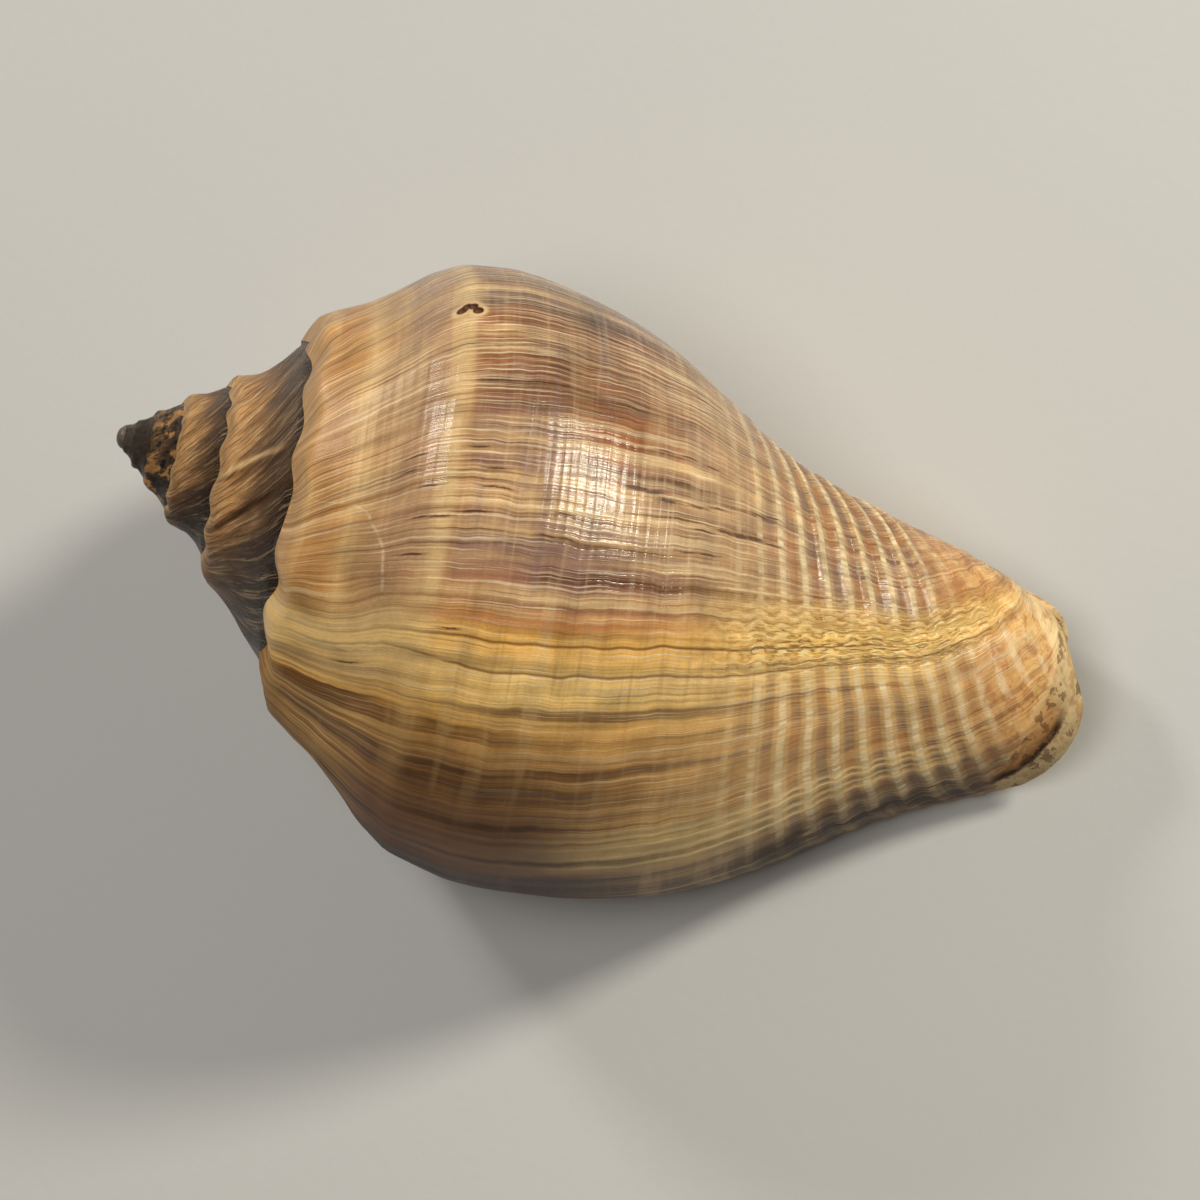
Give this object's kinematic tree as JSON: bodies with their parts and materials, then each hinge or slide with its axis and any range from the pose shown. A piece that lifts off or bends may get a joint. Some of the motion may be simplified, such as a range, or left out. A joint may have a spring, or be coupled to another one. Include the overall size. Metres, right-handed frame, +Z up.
{
  "type": "crown conch shell",
  "caption": "Empty spiral sea-snail shell with a knobless rounded shoulder, corded siphonal canal, open mouth and a healed growth scar; lies mouth down as a natural ornament.",
  "frame": {"origin": "on the surface the shell lies on, under the middle of its bounding box", "axes": "+X from the pointed spire towards the open end of the siphonal canal, +Z up, away from the surface; the lip is on the -Y side and the mouth faces down"},
  "size_m": [0.094, 0.058, 0.0481],
  "materials": {
    "shell": "satin"
  },
  "bodies": {
    "root": {"shell": "shell"}
  },
  "joints": []
}
